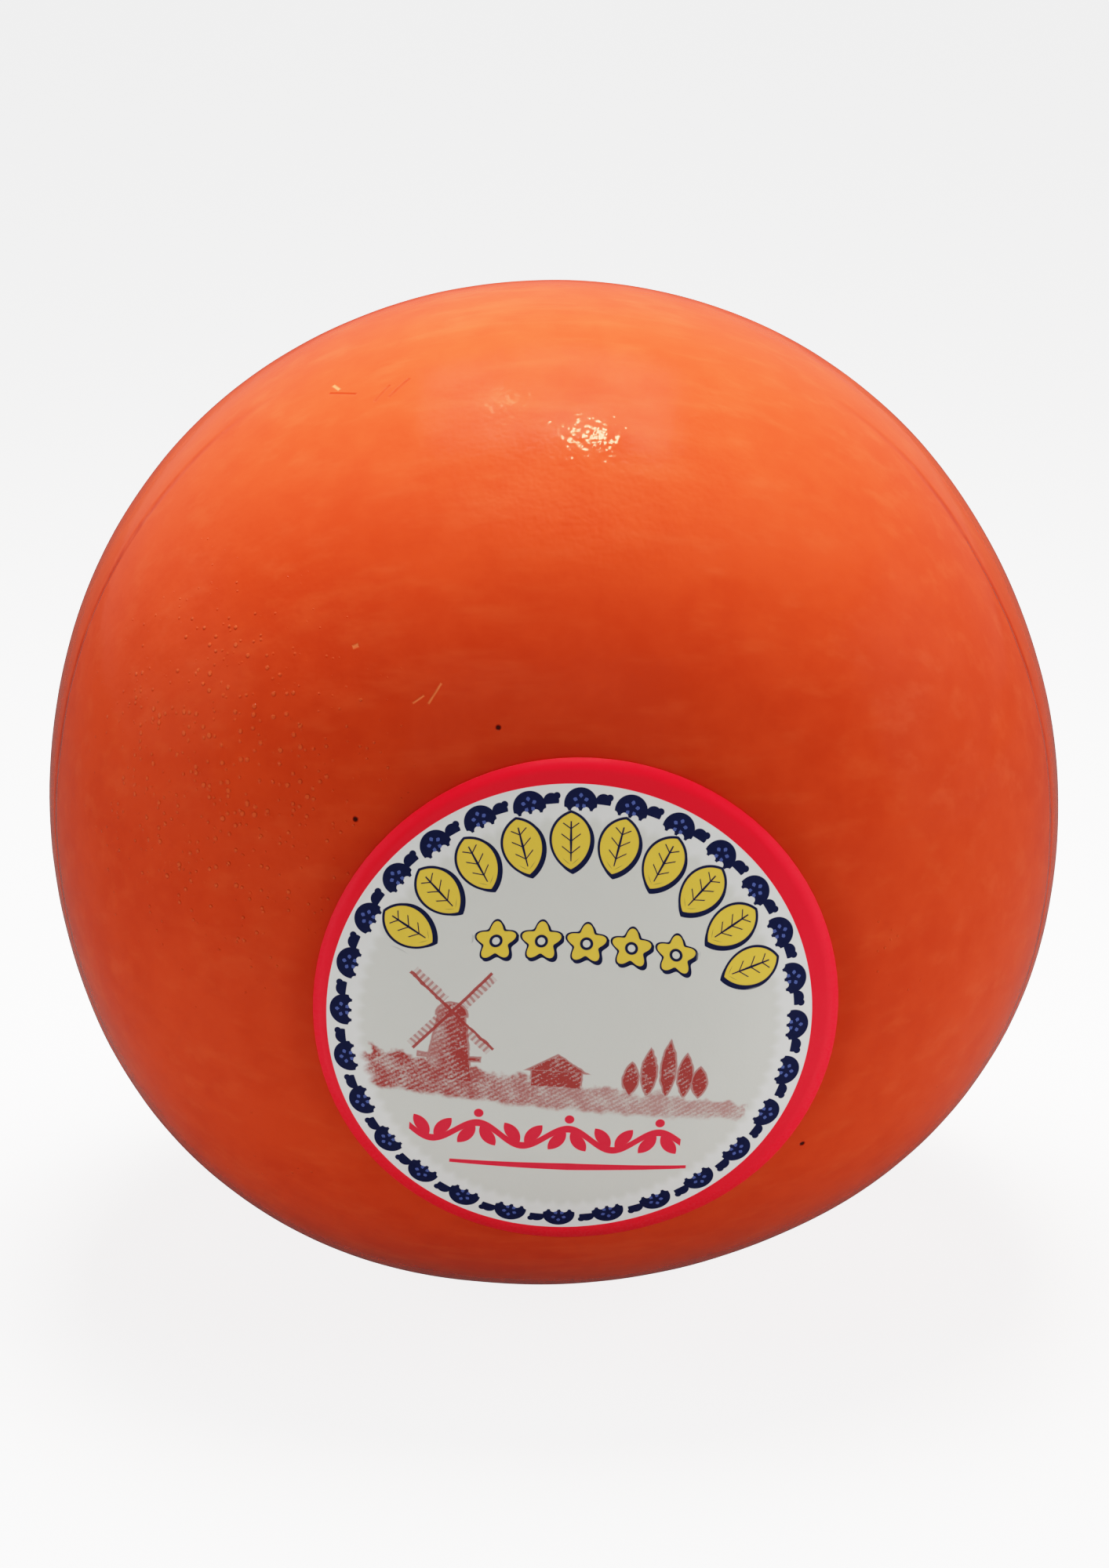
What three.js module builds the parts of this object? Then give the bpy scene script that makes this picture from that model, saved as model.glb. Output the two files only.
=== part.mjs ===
// A ball of pressed cheese in a thin orange coat, lying on its side, with a round paper label.
// Millimetres, +Z up. The ball rests on a small flat spot centred on the origin, and one of
// its two flattened poles, the one that carries the label, faces -Y.

import * as THREE from "three";
import { mergeVertices } from "three/addons/utils/BufferGeometryUtils.js";

// The ball, as its mould left it.
const HALF_WIDTH = 95;
const HALF_HEIGHT = 94.6;
const POLE_FLATTENING = 0.14; // how much nearer the centre a pole is than the round girth
const POLE_SPREAD = 4; // a higher power keeps the flattening closer to the pole

// Where it has sagged on the shelf: a wave of so many lobes round the girth, seen from the front.
const GIRTH_SWELLS = [
  { lobes: 3, height: 1.1, crestDegrees: -22 },
  { lobes: 4, height: 0.8, crestDegrees: -37 },
];

// The spot that it lies on, pressed flat.
const CENTRE_HEIGHT = 90;

// The label, a disc of paper that follows the ball.
const LABEL_RADIUS = 46.5;
const LABEL_THICKNESS = 0.4;
const LABEL_GAP = 0.3;
const LABEL_RIGHT_OF_POLE = 4.7;
const LABEL_BELOW_POLE = 16.5;
const LABEL_BEND_RADIUS = 86; // of the sphere that best fits the skin under the label

// Fineness of the faceted solids.
const BALL_FACETS = 16; // along each side of the cube that the ball is rounded from
const LABEL_RINGS = 6;
const LABEL_FACETS = 48;

const FRONT = new THREE.Vector3(0, -1, 0);
const RIGHT = new THREE.Vector3(1, 0, 0);

const orangeCoat = new THREE.MeshStandardMaterial({ color: 0xcf4516, roughness: 0.38, metalness: 0 });
const labelPaper = new THREE.MeshStandardMaterial({ color: 0xd8d4c6, roughness: 0.6, metalness: 0 });

// How far the skin is from the ball's centre along a unit direction.
function skinDistance(direction) {
  const { x, y, z } = direction;
  const round = 1 / Math.hypot(x / HALF_WIDTH, y / HALF_WIDTH, z / HALF_HEIGHT);
  const flattened = round * (1 - POLE_FLATTENING * Math.abs(y) ** POLE_SPREAD);
  const aroundGirth = Math.atan2(z, x);
  const nearGirth = x * x + z * z;
  let distance = flattened;
  for (const { lobes, height, crestDegrees } of GIRTH_SWELLS) {
    const fromCrest = aroundGirth - THREE.MathUtils.degToRad(crestDegrees);
    distance += nearGirth * height * Math.cos(lobes * fromCrest);
  }
  return distance;
}

// Welds a geometry and moves each of its points to the place that the rule gives.
function reshape(geometry, place) {
  geometry.deleteAttribute("normal");
  geometry.deleteAttribute("uv");
  const welded = mergeVertices(geometry, 1e-5);
  const position = welded.attributes.position;
  const point = new THREE.Vector3();
  for (let i = 0; i < position.count; i += 1) {
    point.fromBufferAttribute(position, i);
    place(point);
    position.setXYZ(i, point.x, point.y, point.z);
  }
  welded.computeVertexNormals();
  return welded;
}

// A cube's faces pushed out to the skin. The tangent keeps the facets even in size.
function makeBall() {
  const cube = new THREE.BoxGeometry(2, 2, 2, BALL_FACETS, BALL_FACETS, BALL_FACETS);
  const even = (side) => Math.tan((side * Math.PI) / 4);
  const geometry = reshape(cube, (point) => {
    point.set(even(point.x), even(point.y), even(point.z)).normalize();
    point.multiplyScalar(skinDistance(point));
    point.z = Math.max(point.z + CENTRE_HEIGHT, 0);
  });
  const ball = new THREE.Mesh(geometry, orangeCoat);
  ball.name = "cheese_ball";
  return ball;
}

// A lathe-turned flat disc, laid on the skin about the label's middle.
function makeLabel() {
  const profile = [];
  for (let ring = 0; ring <= LABEL_RINGS; ring += 1) {
    profile.push(new THREE.Vector2((LABEL_RADIUS * ring) / LABEL_RINGS, 0));
  }
  for (let ring = LABEL_RINGS; ring >= 0; ring -= 1) {
    profile.push(new THREE.Vector2((LABEL_RADIUS * ring) / LABEL_RINGS, LABEL_THICKNESS));
  }
  const disc = new THREE.LatheGeometry(profile, LABEL_FACETS);

  const poleDistance = skinDistance(FRONT);
  const middle = new THREE.Vector3(LABEL_RIGHT_OF_POLE, -poleDistance, -LABEL_BELOW_POLE).normalize();
  const across = RIGHT.clone().addScaledVector(middle, -RIGHT.dot(middle)).normalize();
  const upward = new THREE.Vector3().crossVectors(middle, across).normalize();
  const geometry = reshape(disc, (point) => {
    const fromMiddle = Math.hypot(point.x, point.z);
    const bend = fromMiddle / LABEL_BEND_RADIUS;
    const bearing = Math.atan2(-point.z, point.x);
    const aboveSkin = LABEL_GAP + point.y;
    point.copy(middle).multiplyScalar(Math.cos(bend));
    point.addScaledVector(across, Math.sin(bend) * Math.cos(bearing));
    point.addScaledVector(upward, Math.sin(bend) * Math.sin(bearing));
    point.multiplyScalar(skinDistance(point) + aboveSkin);
    point.z += CENTRE_HEIGHT;
  });
  const label = new THREE.Mesh(geometry, labelPaper);
  label.name = "paper_label";
  return label;
}

const cheese = new THREE.Group();
cheese.add(makeBall(), makeLabel());

export default cheese;
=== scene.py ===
"""A ball of pressed cheese in an orange wax coat, lying on its side, with a round paper label.

Blender 4.5. Metres, +Z up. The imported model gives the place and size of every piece.
"""
import math
import bpy
from mathutils import Euler, Matrix, Vector


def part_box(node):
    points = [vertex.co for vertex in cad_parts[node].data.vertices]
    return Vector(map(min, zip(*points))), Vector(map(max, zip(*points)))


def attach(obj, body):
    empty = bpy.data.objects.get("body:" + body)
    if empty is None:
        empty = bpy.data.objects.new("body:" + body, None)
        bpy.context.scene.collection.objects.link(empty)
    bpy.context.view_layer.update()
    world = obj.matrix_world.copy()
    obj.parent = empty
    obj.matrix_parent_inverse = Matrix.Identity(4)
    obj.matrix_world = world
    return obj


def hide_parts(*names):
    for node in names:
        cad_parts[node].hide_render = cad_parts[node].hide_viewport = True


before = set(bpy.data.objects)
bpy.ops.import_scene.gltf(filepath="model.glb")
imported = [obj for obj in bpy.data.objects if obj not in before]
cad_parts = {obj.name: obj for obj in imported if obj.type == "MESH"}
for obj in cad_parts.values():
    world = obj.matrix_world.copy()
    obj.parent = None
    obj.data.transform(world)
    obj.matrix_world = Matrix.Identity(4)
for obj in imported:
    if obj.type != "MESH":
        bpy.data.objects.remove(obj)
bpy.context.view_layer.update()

MM = 0.001
BAKE_MAP = "OFBake"

ball_low, ball_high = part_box("cheese_ball")
ball_middle = (ball_low + ball_high) / 2
label_low, label_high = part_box("paper_label")
label_radius = (label_high.x - label_low.x) / 2
LABEL_NUDGE = Vector((-0.7, 0, 0.5)) * MM  # the sheet's middle, from the middle of its solid's box
label_middle = (label_low + label_high) / 2 + LABEL_NUDGE


# ---------------------------------------------------------------- shader bench


class Field:
    """A number, colour or vector that varies over a surface, worked with ordinary arithmetic."""

    def __init__(self, bench, socket):
        self.bench = bench
        self.socket = socket

    def __add__(self, other):
        return self.bench.math("ADD", self, other)

    def __sub__(self, other):
        return self.bench.math("SUBTRACT", self, other)

    def __mul__(self, other):
        return self.bench.math("MULTIPLY", self, other)

    def __truediv__(self, other):
        return self.bench.math("DIVIDE", self, other)

    def __radd__(self, other):
        return self.bench.math("ADD", other, self)

    def __rsub__(self, other):
        return self.bench.math("SUBTRACT", other, self)

    def __rmul__(self, other):
        return self.bench.math("MULTIPLY", other, self)

    def __rtruediv__(self, other):
        return self.bench.math("DIVIDE", other, self)

    def __neg__(self):
        return self.bench.math("MULTIPLY", self, -1)

    def __abs__(self):
        return self.bench.math("ABSOLUTE", self)


class Bench:
    """Builds the nodes of one material or world."""

    def __init__(self, owner):
        owner.use_nodes = True
        self.owner = owner
        self.tree = owner.node_tree
        self.tree.nodes.clear()

    def node(self, kind, settings=None, inputs=None):
        """Adds a node and sets its settings, then fills or links its sockets."""
        made = self.tree.nodes.new(kind)
        for name, value in (settings or {}).items():
            setattr(made, name, value)
        for name, value in (inputs or {}).items():
            socket = made.inputs[name]
            if isinstance(value, Field):
                self.tree.links.new(value.socket, socket)
            else:
                socket.default_value = value
        return made

    def out(self, kind, output, settings=None, inputs=None):
        return Field(self, self.node(kind, settings, inputs).outputs[output])

    def math(self, operation, *values):
        return self.out("ShaderNodeMath", 0, {"operation": operation}, dict(enumerate(values)))

    def least(self, first, *rest):
        for other in rest:
            first = self.math("MINIMUM", first, other)
        return first

    def most(self, first, *rest):
        for other in rest:
            first = self.math("MAXIMUM", first, other)
        return first

    def less(self, vector, other):
        return self.out("ShaderNodeVectorMath", 0, {"operation": "SUBTRACT"}, {0: vector, 1: other})

    def scale(self, vector, size):
        return self.out("ShaderNodeVectorMath", 0, {"operation": "SCALE"}, {0: vector, 3: size})

    def direction(self, vector):
        return self.out("ShaderNodeVectorMath", 0, {"operation": "NORMALIZE"}, {0: vector})

    def dot(self, vector, other):
        return self.out("ShaderNodeVectorMath", 1, {"operation": "DOT_PRODUCT"}, {0: vector, 1: other})

    def distance(self, vector, other):
        return self.out("ShaderNodeVectorMath", 1, {"operation": "DISTANCE"}, {0: vector, 1: other})

    def length(self, across, up):
        return self.math("SQRT", across * across + up * up)

    def cell(self, value):
        """The place inside a repeat that is one unit long, from -0.5 to 0.5."""
        return self.math("WRAP", value, 0.5, -0.5)

    def split(self, vector):
        apart = self.node("ShaderNodeSeparateXYZ", None, {0: vector})
        return [Field(self, socket) for socket in apart.outputs]

    def join(self, x, y, z=0.0):
        return self.out("ShaderNodeCombineXYZ", 0, None, {0: x, 1: y, 2: z})

    def step(self, value, start, end, low=0.0, high=1.0):
        """Goes smoothly from low to high while value goes from start to end."""
        inputs = {"Value": value, "From Min": start, "From Max": end, "To Min": low, "To Max": high}
        return self.out("ShaderNodeMapRange", 0, {"interpolation_type": "SMOOTHSTEP"}, inputs)

    def mix(self, share, under, over):
        """Colour over laid on colour under by share."""
        sockets = {0: share, 6: under, 7: over}
        return self.out("ShaderNodeMix", 2, {"data_type": "RGBA"}, sockets)

    def noise(self, place, size, detail=2.0, roughness=0.5):
        """A soft random field, about 0 to 1, whose blotches are about one size across."""
        inputs = {"Vector": place, "Scale": 1 / size, "Detail": detail, "Roughness": roughness}
        return self.out("ShaderNodeTexNoise", 0, None, inputs)

    def bump(self, height, distance):
        return self.out("ShaderNodeBump", 0, None, {"Distance": distance, "Height": height})

    def surface(self, inputs):
        shader = self.out("ShaderNodeBsdfPrincipled", 0, None, inputs)
        self.node("ShaderNodeOutputMaterial", None, {"Surface": shader})
        return self.owner


def colour(red, green, blue):
    return (red, green, blue, 1.0)


def grey(level):
    return colour(level, level, level)


# ---------------------------------------------------------------- orange wax

WAX = colour(0.63, 0.052, 0.016)
WAX_DEEP = colour(0.56, 0.042, 0.013)
# Paler wax for the brush strokes, also a painted sheen along the rim.
WAX_THIN_AND_SHEEN = colour(0.68, 0.072, 0.024)
# Painted shade: darkens the seam, the dark cuts and the wax round the label's edge.
WAX_CREASE_SHADE = colour(0.36, 0.020, 0.005)
WAX_SPECK = colour(0.85, 0.20, 0.07)
# Painted shade inside the pits.
PIT_SHADE = colour(0.05, 0.010, 0.006)
WAX_GLOSS = (0.07, 0.11)  # the smoothest and the dullest roughness

# On the wax, lengths are in millimetres and places are in the shared frame.
SKIN_RADIUS = 90  # of the round skin that the marks are laid out on
CLOUD_SIZE = 45
MOTTLE_SIZE = 7
BRUSH_SIZE = 5
BRUSH_SLOWNESS = 0.22  # how slowly a brush stroke changes along its length
LABEL_SHADE_WIDTH = 6.5  # of the painted shade round the label's edge
SEAM_AT = -26  # the two halves of the mould meet before the girth
SEAM_LEAN = 0.12
SEAM_WIDTH = 1.7
PIMPLE_SPACING = 1.15
PIMPLE_RADIUS = 0.36
PIMPLED_SIDE = (-57, -64, 112)  # where air bubbles crowd under the wax
PEBBLE_SIZE = 1.5
PEBBLED_TOP = (7, -46, 168)  # where the wax has set with a pebbled face
RIPPLE_SIZE = 6
PIT_EDGE = (0.62, 0.25)  # from its middle, where a pit starts and where it is full depth
PITS = ((-33, -77, 109.5), (-9, -78, 126), (41, -62, 49), (30, 64, 132), (-48, 52, 98), (70, 40, 70))
# Small cuts and scratches: place, lean in degrees, length, width, colour. A dark one is painted shade in
# its cut; a pale one is the wax's own colour.
CUTS = (
    ((-26.5, -34, 174), 84, 5.5, 0.6, WAX_CREASE_SHADE),
    ((-29.4, -34, 173), 92, 4.5, 0.5, WAX_CREASE_SHADE),
    ((-37, -30, 173), 15, 6.0, 0.5, WAX_CREASE_SHADE),
    ((-38, -27, 173), -10, 2.6, 0.6, WAX_SPECK),
    ((-19.6, -75, 131), 62, 4.2, 0.35, WAX_SPECK),
    ((-22.4, -75, 130), 40, 2.4, 0.3, WAX_SPECK),
    ((-33, -69, 137.5), 30, 1.1, 0.7, WAX_SPECK),
    ((24, 58, 141), 75, 6.0, 0.4, WAX_SPECK),
    ((-60, 45, 62), 20, 5.0, 0.4, WAX_CREASE_SHADE),
)
# How far each of them stands out of the wax or goes into it.
PEBBLE_DEPTH = (0.025, 0.1)  # elsewhere, and on the pebbled top
CROWD_PEBBLE_DEPTH = 0.04
RIPPLE_DEPTH = 0.06
BRUSH_DEPTH = 0.04
PIMPLE_DEPTH = 0.2
SEAM_DEPTH = 0.1
PIT_DEPTH = 0.4
CUT_DEPTH = 0.1


def on_skin(place):
    """The point of the round skin that lies under a place, from the middle of the ball."""
    return (Vector(place) - ball_middle / MM).normalized() * SKIN_RADIUS


def cut_distance(bench, outward, place, lean, length, width):
    """Distance to a short straight cut, from the skin point outward."""
    point = on_skin(place)
    level = Vector((0, 0, 1)).cross(point).normalized()
    rise = point.normalized().cross(level)
    along = math.cos(math.radians(lean)) * level + math.sin(math.radians(lean)) * rise
    across = point.normalized().cross(along)
    ends = abs(bench.dot(outward, along) - point.dot(along)) - length / 2
    sides = abs(bench.dot(outward, across) - point.dot(across)) - width / 2
    near = bench.distance(outward, point) - length
    return bench.most(ends, sides, near)


def label_edge_shade(bench, x, y, z):
    """Painted shade round the label's edge, less below it and none behind the ball."""
    from_label_x = x - label_middle.x / MM
    from_label_z = z - label_middle.z / MM
    past_label = bench.length(from_label_x, from_label_z) - label_radius / MM
    edge = bench.step(past_label, LABEL_SHADE_WIDTH, -0.5)
    return edge * bench.step(from_label_z, -46, 5, 0.25, 1.0) * bench.step(y, 0, -30)


def seam_and_rim_sheen(bench, at, y, z):
    """The seam line, darkened with painted shade in its groove, and a strip behind it painted paler as a
    sheen along the rim. Both fade out high and low.
    """
    above_middle = z - ball_middle.z / MM
    wander = bench.noise(at, 25, 2) * 3 - 1.5
    past_seam = y - SEAM_AT - above_middle * SEAM_LEAN + wander
    fade = bench.step(abs(above_middle), 86, 55)
    line = bench.step(abs(past_seam), SEAM_WIDTH, 0.2) * fade
    # painted sheen: a paler strip along the rim, behind the seam
    strip = bench.step(past_seam, -1.5, 8) * bench.step(past_seam, 40, 20) * fade
    return line, strip


def air_bubbles(bench, at, outward):
    """Where bubbles crowd, and each bubble's own bump. A lucky one is larger."""
    bubbles = bench.node("ShaderNodeTexVoronoi", None, {"Vector": at, "Scale": 1 / PIMPLE_SPACING})
    nearest = Field(bench, bubbles.outputs["Distance"]) * PIMPLE_SPACING
    luck = bench.split(Field(bench, bubbles.outputs["Color"]))[0]
    crowd = bench.step(bench.distance(outward, on_skin(PIMPLED_SIDE)), 58, 10, 0.0, 0.66)
    crowd = bench.most(crowd, bench.step(bench.noise(at, 38, 2), 0.58, 0.72, 0.0, 0.34))
    reach = (luck + crowd - 1) * (PIMPLE_RADIUS / 0.4)
    return crowd, bench.step(nearest - reach, 0.05, -0.25)


def orange_wax():
    bench = Bench(bpy.data.materials.new("orange wax"))
    metres = bench.out("ShaderNodeTexCoord", "Object")
    at = bench.scale(metres, 1 / MM)
    x, y, z = bench.split(at)
    outward = bench.scale(bench.direction(bench.less(at, ball_middle / MM)), SKIN_RADIUS)
    cloud = bench.noise(at, CLOUD_SIZE, 3)
    mottle = bench.noise(at, MOTTLE_SIZE, 3, 0.6)
    brushed = bench.noise(bench.join(x * BRUSH_SLOWNESS, y, z), BRUSH_SIZE, 3, 0.6)
    ripple = bench.noise(at, RIPPLE_SIZE, 2)
    seam, rim_sheen_strip = seam_and_rim_sheen(bench, at, y, z)
    crowd, pimple = air_bubbles(bench, at, outward)

    skin = bench.mix(bench.step(cloud * 0.55 + mottle * 0.45, 0.36, 0.64), WAX_DEEP, WAX)
    skin = bench.mix(bench.step(brushed, 0.48, 0.75, 0.0, 0.42), skin, WAX_THIN_AND_SHEEN)
    # Painted shade round the label's edge.
    skin = bench.mix(label_edge_shade(bench, x, y, z) * 0.45, skin, WAX_CREASE_SHADE)
    # Painted sheen: a paler strip along the rim, behind the seam.
    skin = bench.mix(rim_sheen_strip * 0.45, skin, WAX_THIN_AND_SHEEN)
    # The seam painted darker: painted shade in its groove.
    skin = bench.mix(seam * bench.step(mottle, 0.35, 0.6, 0.25, 0.75), skin, WAX_CREASE_SHADE)
    skin = bench.mix(pimple * 0.18, skin, WAX_SPECK)

    from_top = bench.distance(outward, on_skin(PEBBLED_TOP))
    pebble_depth = bench.step(from_top, 34, 14, *PEBBLE_DEPTH) + crowd * CROWD_PEBBLE_DEPTH
    relief = bench.noise(at, PEBBLE_SIZE, 1) * pebble_depth + ripple * RIPPLE_DEPTH
    relief = relief + brushed * BRUSH_DEPTH + pimple * PIMPLE_DEPTH - seam * SEAM_DEPTH
    for place in PITS:
        pit = bench.step(bench.distance(outward, on_skin(place)), *PIT_EDGE)
        # Painted shade: each pit painted near black.
        skin = bench.mix(pit, skin, PIT_SHADE)
        relief = relief - pit * PIT_DEPTH
    for place, lean, length, width, tint in CUTS:
        cut = bench.step(cut_distance(bench, outward, place, lean, length, width), 0.15, -0.2, 0.0, 0.75)
        # A dark cut is painted shade in its groove.
        skin = bench.mix(cut * bench.step(mottle, 0.3, 0.55), skin, tint)
        relief = relief - cut * CUT_DEPTH

    return bench.surface({
        "Base Color": skin,
        "Roughness": bench.step(bench.noise(at, 14, 3), 0.3, 0.7, *WAX_GLOSS),
        "Specular IOR Level": 0.28,
        "Normal": bench.bump(relief, MM),
    })


# ---------------------------------------------------------------- printed paper

PAPER = colour(0.69, 0.69, 0.64)
PAPER_WHITE = colour(0.80, 0.80, 0.78)
BORDER_RED = colour(0.93, 0.010, 0.025)
NAVY = colour(0.010, 0.014, 0.055)
PALE_BLUE = colour(0.09, 0.13, 0.42)
YELLOW = colour(0.86, 0.57, 0.062)
CHALK_RED = colour(0.38, 0.045, 0.040)
SPRIG_RED = colour(0.85, 0.022, 0.050)

PRINT_TURN = math.radians(-4.5)
PRINT_SHIFT = (-1.1, -0.8)  # how far the print sits from the middle of the cut disc, mm
PRINT_RADIUS = 42.4


class Drawing:
    """Inks laid one over another on the label. Lengths are in millimetres."""

    EDGE = 0.12

    def __init__(self, bench, paper):
        self.bench = bench
        self.colour = paper

    def ink(self, distance, shade, share=1.0):
        """Colours what lies inside a line, where distance is below 0."""
        half = self.EDGE / 2
        cover = self.bench.step(distance, half, -half, 0.0, share)
        self.colour = self.bench.mix(cover, self.colour, shade)

    def wash(self, cover, shade):
        self.colour = self.bench.mix(cover, self.colour, shade)


def leaf(bench, across, along, half_width, half_length):
    """Distance to a pointed oval."""
    inset = (half_length**2 - half_width**2) / (2 * half_width)
    return bench.length(abs(across) + inset, along) - (inset + half_width)


def five_petals(bench, across, up):
    """Distance from the middle of a flower, less where its petals reach farther out."""
    turn = bench.math("ARCTAN2", across, up)
    return bench.length(across, up) - bench.math("COSINE", turn * 5) * PETAL_WAVE


def turned(across, up, angle):
    cos, sin = math.cos(angle), math.sin(angle)
    return across * cos + up * sin, up * cos - across * sin


SCALLOPS = 28
SCALLOP_RING = 39.1
LACE_EDGE = (35.0, 37.0)  # from bare paper to full white
SHELL_SHIFT = 1.3
SHELL_RADIUS = 2.85
WING_RADIUS = 1.35
WING_TIP_RADIUS = 0.6
LEAVES = 10
LEAF_RING = 32.8
LEAF_STEP = math.radians(14.5)
LEAF_LEAN = math.radians(3)  # how far the arch's middle is past the top
LEAF_HALF_WIDTH = 3.25
LEAF_HALF_LENGTH = 4.75
VEIN_HALF_LENGTH = 3.4
RIB_STEP = 2.1
RIB_REACH = 1.6
FLOWERS = 5
FLOWER_STEP = 7.8
FLOWER_ROW = 15.2
FLOWER_ROW_MIDDLE = 1.7
FLOWER_RADIUS = 2.85
PETAL_WAVE = 0.65  # how far a petal stands out past the flower's radius
EYE_RADIUS = 1.15
EYE_LIGHT_RADIUS = 0.65
OUTLINE = 0.4


def draw_scallops(bench, drawing, angle, radius):
    """A ring of blue shells, each with a small wing, on a lace of white."""
    step = math.tau / SCALLOPS
    across = bench.cell(angle / step) * (step * SCALLOP_RING)
    up = radius - SCALLOP_RING
    lobes = abs(bench.math("SINE", angle * (SCALLOPS * 1.5)))
    drawing.wash(bench.step(radius - lobes * 0.8, *LACE_EDGE), PAPER_WHITE)
    shell_x = across + SHELL_SHIFT
    shell = bench.most(bench.length(shell_x, up + 0.1) - SHELL_RADIUS, -1.15 - up)
    lace = bench.length(bench.cell(shell_x / 1.9 + 0.5) * 1.9, up + 1.2) - 0.7
    shell = bench.most(shell, -lace)
    wing = bench.length(across - 2.5, up - 0.6) - WING_RADIUS
    tip = bench.length(across - 3.5, up - 1.4) - WING_TIP_RADIUS
    wing = bench.most(bench.least(wing, tip), 0.1 - up)
    drawing.ink(bench.least(shell, wing), NAVY)
    petal_turn = bench.math("ARCTAN2", shell_x, up - 0.45)
    reach = bench.length(shell_x, up - 0.45)
    petals = abs(reach - 0.95) - 0.3 * bench.math("COSINE", petal_turn * 5) - 0.08
    drawing.ink(petals, PALE_BLUE, 0.8)


def draw_garland(bench, drawing, angle, radius):
    count = (angle - LEAF_LEAN) / LEAF_STEP
    inside = abs(count) - LEAVES / 2
    across = bench.cell(count + 0.5) * (LEAF_STEP * LEAF_RING)
    along = radius - LEAF_RING
    shape = leaf(bench, across, along, LEAF_HALF_WIDTH, LEAF_HALF_LENGTH)
    shadow = leaf(bench, across - 0.4, along + 0.45, LEAF_HALF_WIDTH, LEAF_HALF_LENGTH) - OUTLINE
    rim = bench.least(shape - 0.45, shadow)
    drawing.ink(bench.most(rim, inside), NAVY)
    drawing.ink(bench.most(shape, inside), YELLOW)
    vein = bench.most(abs(across) - 0.22 + abs(along) * 0.03, abs(along) - VEIN_HALF_LENGTH, inside)
    ribs = abs(bench.cell((along - abs(across) * 0.8) / RIB_STEP) * RIB_STEP) - 0.13
    ribs = bench.most(ribs, abs(across) - RIB_REACH, shape + 0.7, inside)
    drawing.ink(bench.least(vein, ribs), NAVY)


def draw_flowers(bench, drawing, x, y):
    row = (x - FLOWER_ROW_MIDDLE) / FLOWER_STEP
    inside = abs(row) - FLOWERS / 2
    across = bench.cell(row) * FLOWER_STEP
    up = y - FLOWER_ROW + x * x * 0.004
    flower = five_petals(bench, across, up) - FLOWER_RADIUS
    shadow = five_petals(bench, across - 0.35, up + 0.4) - 3.2
    drawing.ink(bench.most(bench.least(flower - OUTLINE, shadow), inside), NAVY)
    drawing.ink(bench.most(flower, inside), YELLOW)
    reach = bench.length(across, up)
    drawing.ink(bench.most(reach - EYE_RADIUS, inside), NAVY)
    drawing.ink(bench.most(reach - EYE_LIGHT_RADIUS, inside), PAPER)


MILL_X = -20.5
MILL_FOOT = -12.0
MILL_HEIGHT = 12.5
SAIL_LENGTH = 10.0
SAIL_TURN = math.radians(40)
FARM_X = -1.5
FARM_FOOT = -11.8
POPLAR_FOOT = -12.6
POPLAR_HALF_WIDTH = 1.35
POPLARS = ((11.5, 3.2), (14.6, 4.6), (17.9, 5.4), (21.0, 4.2), (23.6, 3.0))  # place and half height


def meadow(bench, x, y, blot):
    """Distance to a long strip of grass with ragged edges, falling a little to the right."""
    top = -10.6 - x * 0.095
    strip = bench.most(y - top - (blot - 0.5) * 4.5, top - 5.6 - y + x * 0.06 - (blot - 0.5) * 2.2)
    return bench.most(strip, abs(x + 2) - 34 + (blot - 0.5) * 9)


def mill_tower(bench, x, y):
    """Distance to a tapering tower with a stage round it and a domed cap."""
    foot = y - MILL_FOOT
    across = x - MILL_X
    tower = bench.most(abs(across) - (4.3 - foot * 0.16), abs(foot - MILL_HEIGHT / 2) - MILL_HEIGHT / 2)
    stage = bench.most(abs(across) - 5.4, abs(foot - 4.4) - 0.35)
    cap = bench.most(bench.length(across * 0.8, foot - MILL_HEIGHT) - 2.1, MILL_HEIGHT - 0.2 - foot)
    return bench.least(tower, stage, cap)


def farmhouse(bench, x, y):
    across = abs(x - FARM_X)
    above = y - FARM_FOOT
    walls = bench.most(across - 4.4, abs(above - 1.6) - 1.6)
    roof = bench.most(across * 0.62 + above - 6.3, 3.1 - above)
    return bench.least(walls, roof)


def poplar_row(bench, x, y):
    trees = [leaf(bench, x - place, y - POPLAR_FOOT - half_height, POPLAR_HALF_WIDTH, half_height)
             for place, half_height in POPLARS]
    return bench.least(*trees)


def draw_sails(bench, drawing, x, y):
    """Four lattice sails on a cross of two stocks."""
    hub_x = x - MILL_X
    hub_y = y - (MILL_FOOT + MILL_HEIGHT + 0.5)
    bearing = bench.math("ARCTAN2", hub_x, hub_y) - SAIL_TURN
    quarter = bench.cell(bearing / (math.pi / 2)) * (math.pi / 2)
    reach = bench.length(hub_x, hub_y)
    along = reach * bench.math("COSINE", quarter)
    across = reach * bench.math("SINE", quarter)
    stock = bench.most(abs(across) - 0.27, along - SAIL_LENGTH)
    lattice = bench.most(abs(across - 0.8) - 0.75, abs(along - 6.0) - 3.7)
    rungs = bench.step(bench.math("SINE", along * 6.5), -0.4, 0.5, 0.2, 0.7)
    drawing.wash(bench.step(lattice, 0.1, -0.1) * rungs, CHALK_RED)
    drawing.ink(stock, CHALK_RED, 0.95)


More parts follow.
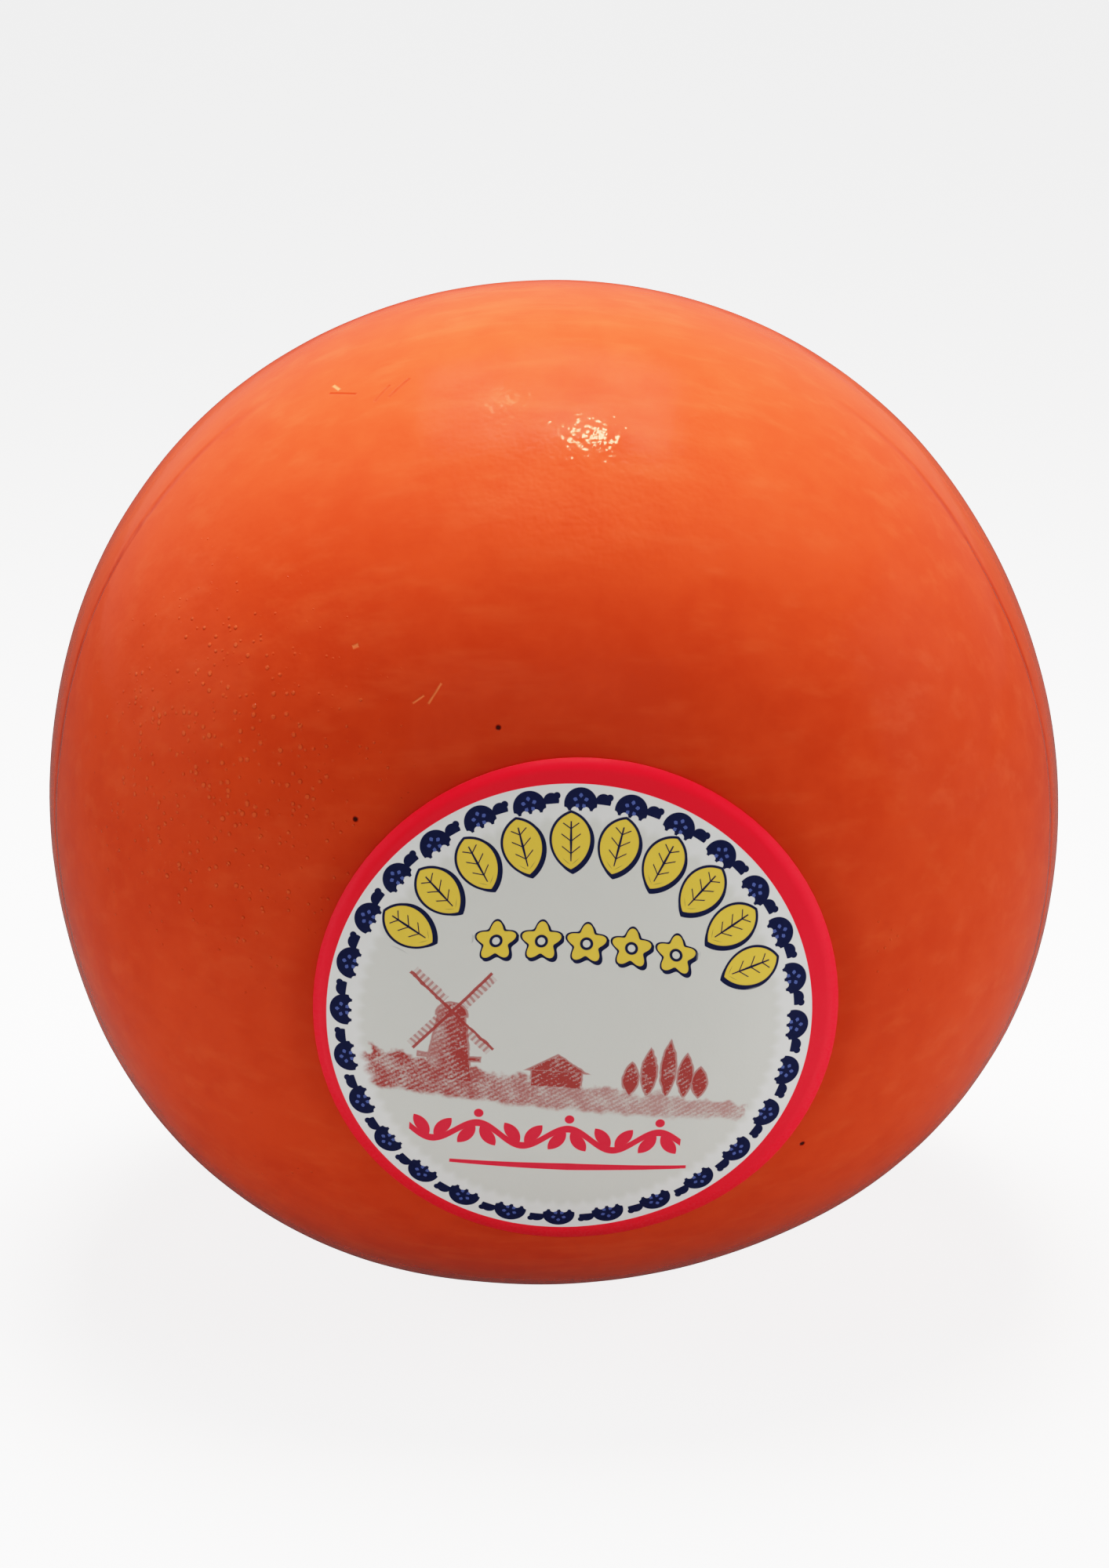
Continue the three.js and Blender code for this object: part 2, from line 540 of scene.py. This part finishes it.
def draw_landscape(bench, drawing, x, y):
    """A red chalk meadow with a mill, a farmhouse and a row of poplars."""
    flat = bench.join(x, y)
    wobble = bench.noise(flat, 1.6, 2) - 0.5
    x = x + wobble * 0.5
    y = y + wobble * 0.4
    grain = bench.noise(flat, 0.4, 3, 0.7)
    blot = bench.noise(flat, 3.0, 3)
    strokes = bench.math("SINE", (x * 0.85 - y * 1.25) * 5.2 + wobble * 2.5)
    chalk = bench.step(strokes * 0.06 + grain * 0.7 + blot * 0.55, 0.36, 0.76, 0.25, 1.0)

    grass = meadow(bench, x, y, blot)
    solid = bench.least(mill_tower(bench, x, y), poplar_row(bench, x, y), farmhouse(bench, x, y))
    lit = bench.step(x - MILL_X, -3.0, 3.5, 0.75, 1.25)
    filled = bench.step(solid, 0.18, -0.18) * bench.least(chalk * lit + 0.12, 1.0)
    outline = bench.step(abs(solid), 0.35, 0.1, 0.0, 0.75) * bench.step(grass, -0.6, 0.1)
    ground = bench.step(grass, 0.35, -0.8) * chalk * bench.step(x, 20, -30, 0.7, 1.0)
    drawing.wash(bench.most(ground, filled, outline), CHALK_RED)
    draw_sails(bench, drawing, x, y)


SPRIG_X = -2.5
SPRIG_Y = -22.0
SPRIG_HALF_LENGTH = 24.0
SPRIG_WAVE = 8.0  # from one crest to the trough after it
SPRIG_SWING = 2.0
SPRIG_LEAF = (1.15, 2.4)  # half width and half length
SPRIG_LEAF_LEAN = math.radians(38)
BERRY_RADIUS = 0.85
RULE_X = 2.0
RULE_Y = -28.0
RULE_HALF_LENGTH = 21.0
RULE_RISE = 0.028


def draw_sprig(bench, drawing, x, y):
    """A waving red stem with a leaf in every bend, over a ruled line."""
    phase = (x - SPRIG_X) / SPRIG_WAVE
    swing = bench.math("SINE", phase * math.pi)
    up = y - SPRIG_Y
    inside = abs(x - SPRIG_X) - SPRIG_HALF_LENGTH
    stem = bench.most(abs(up - swing * SPRIG_SWING) * 0.80 - 0.58, inside)
    side = bench.math("SIGN", swing)
    across = bench.cell(phase - 0.5) * SPRIG_WAVE
    outward = up * side
    shapes = bench.most(bench.length(across, up - 4.0) - BERRY_RADIUS, -swing)
    for hand in (1, -1):
        sideways, along = turned(across - hand * 1.5, outward + 0.1, hand * SPRIG_LEAF_LEAN)
        shapes = bench.least(shapes, leaf(bench, sideways, along + 0.6, *SPRIG_LEAF))
    shapes = bench.most(shapes, inside)
    drawing.ink(bench.least(stem, shapes), SPRIG_RED)
    from_middle = abs(x - RULE_X)
    rule = abs(y - x * RULE_RISE - RULE_Y) - (0.75 - from_middle * 0.018)
    drawing.ink(bench.most(rule, from_middle - RULE_HALF_LENGTH), SPRIG_RED)


def printed_paper():
    bench = Bench(bpy.data.materials.new("printed paper"))
    sheet = bench.out("ShaderNodeUVMap", 0, {"uv_map": BAKE_MAP})
    size = 2 * label_radius / MM
    middle = Matrix.Rotation(-PRINT_TURN, 2) @ Vector((size / 2, size / 2))
    corner = (-middle.x - PRINT_SHIFT[0], -middle.y - PRINT_SHIFT[1], 0)
    turn = {"Vector": sheet, "Location": corner, "Rotation": (0, 0, -PRINT_TURN), "Scale": (size, size, 1)}
    on_print = bench.out("ShaderNodeMapping", 0, None, turn)
    x, y, _ = bench.split(on_print)
    radius = bench.length(x, y)
    angle = bench.math("ARCTAN2", x, y)

    drawing = Drawing(bench, PAPER)
    draw_landscape(bench, drawing, x, y)
    draw_sprig(bench, drawing, x, y)
    draw_scallops(bench, drawing, angle, radius)
    draw_garland(bench, drawing, angle, radius)
    draw_flowers(bench, drawing, x, y)
    drawing.ink(PRINT_RADIUS - radius, BORDER_RED)

    fibre = bench.noise(on_print, 0.6, 3, 0.6)
    cockle = bench.noise(on_print, 9.0, 2)
    return bench.surface({
        "Base Color": drawing.colour,
        "Roughness": bench.step(fibre, 0.3, 0.7, 0.42, 0.55),
        "Specular IOR Level": 0.25,
        "Normal": bench.bump(fibre * 0.02 + cockle * 0.25, MM),
    })


# ---------------------------------------------------------------- making by hand


def only(piece):
    bpy.ops.object.select_all(action="DESELECT")
    piece.select_set(True)
    bpy.context.view_layer.objects.active = piece


def apply_modifier(piece, kind, **settings):
    only(piece)
    modifier = piece.modifiers.new(kind.lower(), kind)
    for name, value in settings.items():
        setattr(modifier, name, value)
    bpy.ops.object.modifier_apply(modifier=modifier.name)


def smooth_over(piece, levels):
    apply_modifier(piece, "SUBSURF", levels=levels, render_levels=levels)


def uneven(piece, size, depth):
    """Raises and sinks the surface softly by up to half the depth, in patches of about that size."""
    clouds = bpy.data.textures.new("unevenness", "CLOUDS")
    clouds.noise_scale = size
    clouds.noise_depth = 1
    apply_modifier(piece, "DISPLACE", texture=clouds, texture_coords="LOCAL", strength=depth, mid_level=0.5)


def finish_piece(piece, name, material, node):
    piece.name = name
    piece.data.name = name
    piece.data.materials.clear()
    piece.data.materials.append(material)
    only(piece)
    bpy.ops.object.shade_smooth()
    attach(piece, "root")
    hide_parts(node)


# ---------------------------------------------------------------- ball

BALL_SUBDIVISIONS = 3
PRESSED_HEIGHT = 0.35 * MM  # what is lower than this is pressed flat by the shelf
SAG = (50 * MM, 0.7 * MM)  # size and depth of its broad and fine unevenness
DIMPLES = (16 * MM, 0.16 * MM)
WELD = 0.01 * MM


def make_ball():
    bpy.ops.object.select_all(action="DESELECT")
    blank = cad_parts["cheese_ball"].data.copy()
    ball = bpy.data.objects.new("waxed_ball", blank)
    bpy.context.scene.collection.objects.link(ball)
    only(ball)
    bpy.ops.object.mode_set(mode="EDIT")
    bpy.ops.mesh.select_all(action="SELECT")
    bpy.ops.mesh.remove_doubles(threshold=WELD)
    square = math.radians(60)
    bpy.ops.mesh.tris_convert_to_quads(face_threshold=square, shape_threshold=square)
    bpy.ops.object.mode_set(mode="OBJECT")
    smooth_over(ball, BALL_SUBDIVISIONS)
    uneven(ball, *SAG)
    uneven(ball, *DIMPLES)
    for corner in ball.data.vertices:
        if corner.co.z < PRESSED_HEIGHT:
            corner.co.z = 0
    unwrap_ball(ball)
    finish_piece(ball, "waxed_ball", orange_wax(), "cheese_ball")
    return ball


def unwrap_ball(ball):
    for old in list(ball.data.uv_layers):
        ball.data.uv_layers.remove(old)
    ball.data.uv_layers.new(name=BAKE_MAP)
    only(ball)
    bpy.ops.object.mode_set(mode="EDIT")
    bpy.ops.mesh.select_all(action="SELECT")
    bpy.ops.uv.cube_project(cube_size=0.2)
    bpy.ops.uv.select_all(action="SELECT")
    bpy.ops.uv.pack_islands(margin=0.01)
    bpy.ops.object.mode_set(mode="OBJECT")


# ---------------------------------------------------------------- label

LABEL_RINGS = 20
LABEL_SIDES = 96
LABEL_TILT_DOWN = math.radians(5.5)
LABEL_TILT_RIGHT = math.radians(1.5)
LABEL_STRETCH = (0.983, 1.0245)  # cut so that it looks round once it follows the ball
PAPER_THICKNESS = 0.25 * MM
PAPER_GAP = 0.12 * MM
PAPER_COCKLE = (12 * MM, 0.1 * MM)


def ringed_disc():
    """A flat disc extruded ring by ring from its rim inwards, and the map of its sheet."""
    bpy.ops.object.select_all(action="DESELECT")
    bpy.ops.mesh.primitive_circle_add(vertices=LABEL_SIDES, radius=label_radius, fill_type="NOTHING")
    disc = bpy.context.active_object
    bpy.ops.object.mode_set(mode="EDIT")
    bpy.ops.mesh.select_all(action="SELECT")
    for ring in range(LABEL_RINGS - 1, 0, -1):
        bpy.ops.mesh.extrude_edges_move()
        shrink = ring / (ring + 1)
        bpy.ops.transform.resize(value=(shrink, shrink, 1))
    bpy.ops.mesh.extrude_edges_move()
    bpy.ops.mesh.merge(type="CENTER")
    bpy.ops.mesh.select_all(action="SELECT")
    bpy.ops.mesh.normals_make_consistent(inside=False)
    bpy.ops.object.mode_set(mode="OBJECT")

    sheet = disc.data.uv_layers.new(name=BAKE_MAP)
    for corner in disc.data.loops:
        spot = disc.data.vertices[corner.vertex_index].co / (2 * label_radius)
        sheet.data[corner.index].uv = (spot.x + 0.5, spot.y + 0.5)
    return disc


def make_label(ball):
    label = ringed_disc()
    only(label)
    bpy.ops.transform.resize(value=(*LABEL_STRETCH, 1))
    bpy.ops.object.transform_apply(location=False, rotation=False, scale=True)
    facing = Euler((math.radians(90) + LABEL_TILT_DOWN, 0, LABEL_TILT_RIGHT))
    start = Vector((label_middle.x, label_low.y - label_radius / 2, label_middle.z))
    label.data.transform(Matrix.Translation(start) @ facing.to_matrix().to_4x4())
    apply_modifier(label, "SHRINKWRAP", target=ball, wrap_method="PROJECT", use_project_y=True,
                   use_positive_direction=True, use_negative_direction=False, offset=PAPER_GAP)
    uneven(label, *PAPER_COCKLE)
    apply_modifier(label, "SOLIDIFY", thickness=PAPER_THICKNESS, offset=1.0)
    finish_piece(label, "round_label", printed_paper(), "paper_label")
    return label


# ---------------------------------------------------------------- studio

VIEW_ELEVATION = math.radians(18)
VIEW_DISTANCE = 0.8
LENS = 97.9
SENSOR = 36
CLIP = (0.05, 30)
AIM_BELOW_MIDDLE = 1.8 * MM

PANEL = (0.9, 0.9)
SOFT_WHITE = (1.0, 1.0, 1.0)
WINDOW_YELLOW = (1.0, 0.72, 0.36)

# Lamps: name, place from the middle of the ball, size, power, colour, whether the gloss mirrors it.
LAMPS = (
    ("softbox", (0.0, 0.085, 0.39), (0.25, 0.25), 6.4, SOFT_WHITE, False),
    ("sky panel", (0.0, -0.22, 0.9), (0.5, 0.3), 1.4, SOFT_WHITE, False),
    ("window", (0.11, 0.03, 1.06), (0.06, 0.09), 1.15, WINDOW_YELLOW, True),
    ("side window", (-0.12, 0.26, 1.0), (0.05, 0.10), 0.10, WINDOW_YELLOW, True),
    ("right panel", (1.2, 0.0, 0.18), PANEL, 17, SOFT_WHITE, False),
    ("left panel", (-1.2, 0.0, 0.18), PANEL, 9, SOFT_WHITE, False),
    ("front panel", (0.0, -1.2, 0.18), PANEL, 4, SOFT_WHITE, False),
)

ROOM_FRONT = 0.05
ROOM_BACK = 0.16
BACKDROP = 1.5
FLOOR_SIZE = 14
FLOOR_WHITE = 0.4
FLOOR_GLOW = 0.22
FLOOR_SEEN_GLOW = 1.4  # as the camera sees it
FLOOR_MIRRORED = 0.03  # as a gloss mirrors it
FLOOR_MIRRORED_GLOW = 0.06

HIGHLIGHT_ROLL_OFF = 1.4  # how soon bright colours ease off towards white
SHADOW_TOE = 0.02  # how far up the darkest tones are held down
CURVE_TOP = 3.0  # the brightest light that the tone curve tells apart
CURVE_POINTS = 13


def set_camera():
    aim = ball_middle - Vector((0, 0, AIM_BELOW_MIDDLE))
    towards = Vector((0, -math.cos(VIEW_ELEVATION), math.sin(VIEW_ELEVATION)))
    data = bpy.data.cameras.new("camera")
    data.lens = LENS
    data.sensor_width = SENSOR
    data.clip_start, data.clip_end = CLIP
    camera = bpy.data.objects.new("camera", data)
    bpy.context.scene.collection.objects.link(camera)
    camera.location = aim + towards * VIEW_DISTANCE
    camera.rotation_euler = towards.to_track_quat("Z", "Y").to_euler()
    bpy.context.scene.camera = camera


def hang_lamp(name, place, size, power, tint, mirrored):
    """A soft lamp that faces the ball."""
    place = Vector(place)
    data = bpy.data.lights.new(name, "AREA")
    data.shape = "RECTANGLE"
    data.size, data.size_y = size
    data.energy = power
    data.color = tint
    lamp = bpy.data.objects.new(name, data)
    bpy.context.scene.collection.objects.link(lamp)
    lamp.location = ball_middle + place
    lamp.rotation_euler = Vector((0, 0, 1)).rotation_difference(place).to_euler()
    lamp.visible_glossy = mirrored


def lay_floor():
    bpy.ops.object.select_all(action="DESELECT")
    bpy.ops.mesh.primitive_plane_add(size=FLOOR_SIZE)
    floor = bpy.context.active_object
    floor.name = "studio_floor"
    bench = Bench(bpy.data.materials.new("studio floor"))
    seen = bench.out("ShaderNodeLightPath", "Is Camera Ray")
    mirrored = bench.out("ShaderNodeLightPath", "Is Glossy Ray")
    glow = bench.mix(mirrored, grey(FLOOR_GLOW), grey(FLOOR_MIRRORED_GLOW))
    floor.data.materials.append(bench.surface({
        "Base Color": bench.mix(mirrored, grey(FLOOR_WHITE), grey(FLOOR_MIRRORED)),
        "Roughness": 0.7,
        "Emission Color": bench.mix(seen, glow, grey(FLOOR_SEEN_GLOW)),
        "Emission Strength": 1.0,
    }))


def light_room():
    """A dim room, lighter behind the ball and darker underfoot and overhead, with a white backdrop."""
    world = bpy.data.worlds.new("studio")
    bpy.context.scene.world = world
    bench = Bench(world)
    x, y, z = bench.split(bench.out("ShaderNodeTexCoord", "Generated"))
    room = bench.step(y, -0.2, 0.8, ROOM_FRONT, ROOM_BACK)
    room = room * bench.step(z, -0.5, 0.0, 0.2, 1.0) * bench.step(z, 0.8, 0.3, 0.3, 1.0)
    seen = bench.out("ShaderNodeLightPath", "Is Camera Ray")
    backdrop = bench.out("ShaderNodeBackground", 0, None, {"Color": room + seen * BACKDROP})
    bench.node("ShaderNodeOutputWorld", None, {"Surface": backdrop})


def set_tones():
    """Eases the brightest tones off towards white and holds the darkest down."""
    view = bpy.context.scene.view_settings
    view.view_transform = "Standard"
    view.use_curve_mapping = True
    mapping = view.curve_mapping
    mapping.white_level = (CURVE_TOP, CURVE_TOP, CURVE_TOP)
    curve = mapping.curves[3]
    for point in range(1, CURVE_POINTS + 1):
        share = (point / CURVE_POINTS) ** 3
        light = CURVE_TOP * share
        light = light * light / (light + SHADOW_TOE)
        tone = 1 - math.exp(-HIGHLIGHT_ROLL_OFF * light)
        if point < CURVE_POINTS:
            curve.points.new(share, tone)
        else:
            curve.points[-1].location = (1, tone)
    mapping.update()


# ---------------------------------------------------------------- the scene

set_camera()
ball = make_ball()
label = make_label(ball)
lay_floor()
light_room()
for lamp in LAMPS:
    hang_lamp(*lamp)
set_tones()
